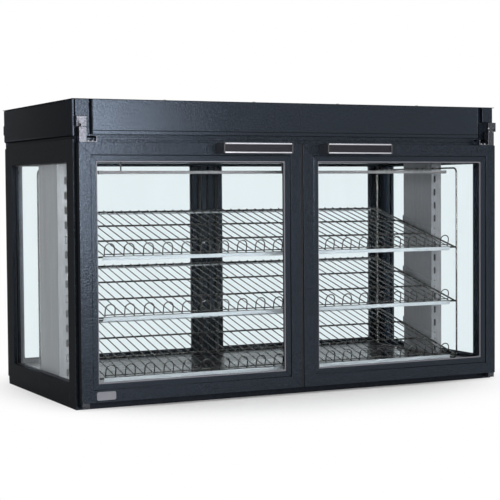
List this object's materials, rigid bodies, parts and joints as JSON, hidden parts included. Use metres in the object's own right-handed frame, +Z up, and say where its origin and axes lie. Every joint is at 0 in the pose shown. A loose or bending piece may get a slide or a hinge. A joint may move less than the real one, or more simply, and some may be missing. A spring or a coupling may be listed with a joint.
{
  "type": "heated merchandising cabinet",
  "caption": "Countertop pass-through glass cabinet that keeps packed food warm on wire shelves, with hinged doors front and rear and a blower housing on top.",
  "frame": {"origin": "centre of the footprint, on the surface that the cabinet stands on", "axes": "+X along the width, to the right seen from the front; the front looks towards -Y; +Z up"},
  "size_m": [1.24, 0.708, 0.759],
  "materials": {
    "powder_coat": "fine textured black powder coat",
    "base_black": "smooth black paint",
    "hinge_black": "black coated steel",
    "clear_glass": "clear toughened glass",
    "floor_steel": "dark satin sheet",
    "duct_steel": "satin stainless sheet",
    "galvanised": "galvanised sheet",
    "plated_wire": "nickel plated wire",
    "strip_grey": "light grey coated sheet",
    "handle_aluminium": "satin anodised",
    "black_plastic": "moulded black plastic",
    "gasket_rubber": "black extruded rubber",
    "pin_steel": "ground steel",
    "light_bar": "pale grey diffuser",
    "motor_grey": "grey enamel",
    "element_steel": "heat-tinted steel tube",
    "terminal_cream": "cream moulded plastic"
  },
  "bodies": {
    "cabinet": {"base_pan": "base_black", "floor_plate": "floor_steel", "corner_posts": "powder_coat", "side_lower_rails": "powder_coat", "side_upper_rails": "powder_coat", "side_glasses": "clear_glass", "door_headers": "powder_coat", "air_ducts": "duct_steel", "ceiling_plate": "duct_steel", "housing_deck": "galvanised", "housing_sides": "powder_coat", "top_cover": "powder_coat", "front_fascia": "powder_coat", "rear_fascia": "powder_coat", "hinge_covers": "powder_coat", "hinge_brackets": "hinge_black", "hinge_pins": "pin_steel", "upper_shelf": "plated_wire", "middle_shelf": "plated_wire", "lower_shelf": "plated_wire", "shelf_strips": "strip_grey", "shelf_stops": "plated_wire", "shelf_brackets": "duct_steel", "side_guards": "plated_wire", "light_bar": "light_bar", "blower_motors": "motor_grey", "heating_elements": "element_steel", "thermostat_body": "terminal_cream", "switch_body": "black_plastic", "terminal_block": "terminal_cream", "cord_gland": "black_plastic"},
    "front_left_door": {"front_left_door_frame": "powder_coat", "front_left_door_glass": "clear_glass", "front_left_door_gasket": "gasket_rubber", "front_left_door_handle": "handle_aluminium", "front_left_door_handle_ends": "black_plastic", "front_left_door_hinge_block": "hinge_black"},
    "front_right_door": {"front_right_door_frame": "powder_coat", "front_right_door_glass": "clear_glass", "front_right_door_gasket": "gasket_rubber", "front_right_door_handle": "handle_aluminium", "front_right_door_handle_ends": "black_plastic", "front_right_door_hinge_block": "hinge_black"},
    "rear_left_door": {"rear_left_door_frame": "powder_coat", "rear_left_door_glass": "clear_glass", "rear_left_door_gasket": "gasket_rubber", "rear_left_door_handle": "handle_aluminium", "rear_left_door_handle_ends": "black_plastic", "rear_left_door_hinge_block": "hinge_black"},
    "rear_right_door": {"rear_right_door_frame": "powder_coat", "rear_right_door_glass": "clear_glass", "rear_right_door_gasket": "gasket_rubber", "rear_right_door_handle": "handle_aluminium", "rear_right_door_handle_ends": "black_plastic", "rear_right_door_hinge_block": "hinge_black"},
    "left_impeller": {"left_blower_impeller": "galvanised"},
    "right_impeller": {"right_blower_impeller": "galvanised"},
    "thermostat_knob": {"thermostat_knob": "black_plastic"},
    "power_rocker": {"power_rocker": "black_plastic"}
  },
  "joints": [
    {"name": "front_left_door_hinge", "type": "hinge", "parent": "cabinet", "child": "front_left_door", "pos_m": [-0.599, -0.295, 0], "axis": [0, 0, -1], "range_deg": [0, 110]},
    {"name": "front_right_door_hinge", "type": "hinge", "parent": "cabinet", "child": "front_right_door", "pos_m": [0.599, -0.295, 0], "axis": [0, 0, 1], "range_deg": [0, 110]},
    {"name": "rear_left_door_hinge", "type": "hinge", "parent": "cabinet", "child": "rear_left_door", "pos_m": [-0.599, 0.295, 0], "axis": [0, 0, 1], "range_deg": [0, 110]},
    {"name": "rear_right_door_hinge", "type": "hinge", "parent": "cabinet", "child": "rear_right_door", "pos_m": [0.599, 0.295, 0], "axis": [0, 0, -1], "range_deg": [0, 110]},
    {"name": "left_impeller_spin", "type": "hinge", "parent": "cabinet", "child": "left_impeller", "pos_m": [-0.28, 0, 0.642], "axis": [0, 0, 1], "continuous": true},
    {"name": "right_impeller_spin", "type": "hinge", "parent": "cabinet", "child": "right_impeller", "pos_m": [0.28, 0, 0.642], "axis": [0, 0, 1], "continuous": true},
    {"name": "thermostat_turn", "type": "hinge", "parent": "cabinet", "child": "thermostat_knob", "pos_m": [0.43, 0.29, 0.716], "axis": [0, -1, 0], "range_deg": [0, 270]},
    {"name": "rocker_tip", "type": "hinge", "parent": "cabinet", "child": "power_rocker", "pos_m": [0.5, 0.288, 0.716], "axis": [-1, 0, 0], "range_deg": [0, 18]}
  ]
}
